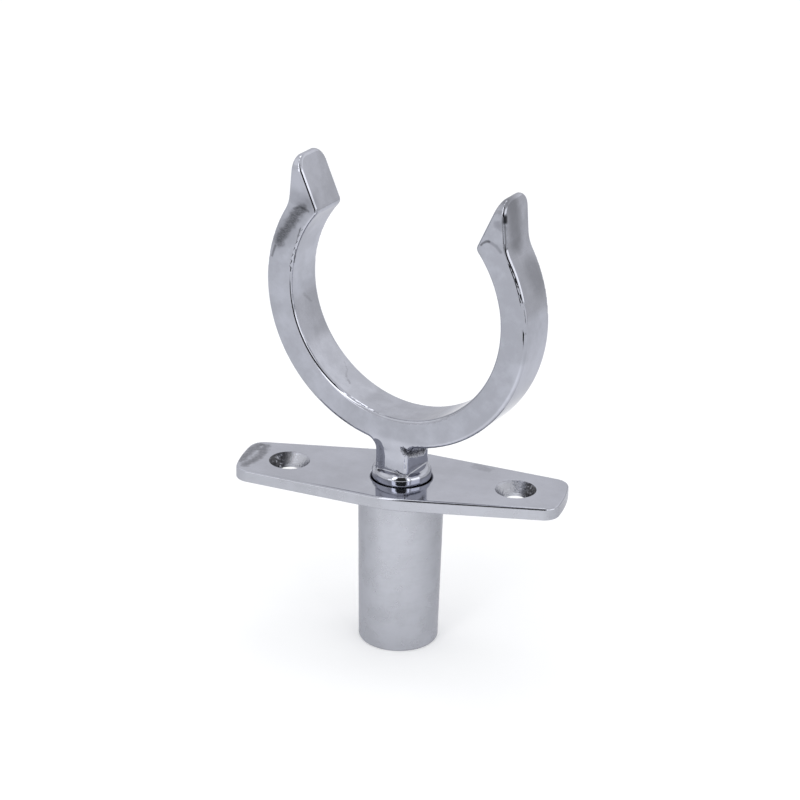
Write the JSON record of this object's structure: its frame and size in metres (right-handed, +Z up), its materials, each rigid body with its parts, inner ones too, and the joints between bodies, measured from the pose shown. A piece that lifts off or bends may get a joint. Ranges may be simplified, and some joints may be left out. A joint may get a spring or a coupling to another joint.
{
  "type": "rowlock",
  "caption": "Open C-shaped rowlock crutch with beaked horns, whose pin swivels in a flush plate-and-tube socket for a gunwale.",
  "frame": {"origin": "on the pin axis, in the underside of the socket's plate, midway between the two screw holes", "axes": "+Z up along the pin axis towards the horns; +X along the plate from one screw hole to the other; +Y across the plate, away from the viewer in the picture"},
  "size_m": [0.0774, 0.0294, 0.1152],
  "materials": {
    "socket_steel": "polished stainless plate over a satin drawn-finish tube",
    "crutch_steel": "mirror-polished stainless casting"
  },
  "bodies": {
    "socket": {"socket": "socket_steel"},
    "crutch": {"crutch": "crutch_steel"}
  },
  "joints": [
    {"name": "swivel", "type": "hinge", "parent": "socket", "child": "crutch", "pos_m": [0, 0, 0.003], "axis": [0, 0, 1], "continuous": true}
  ]
}
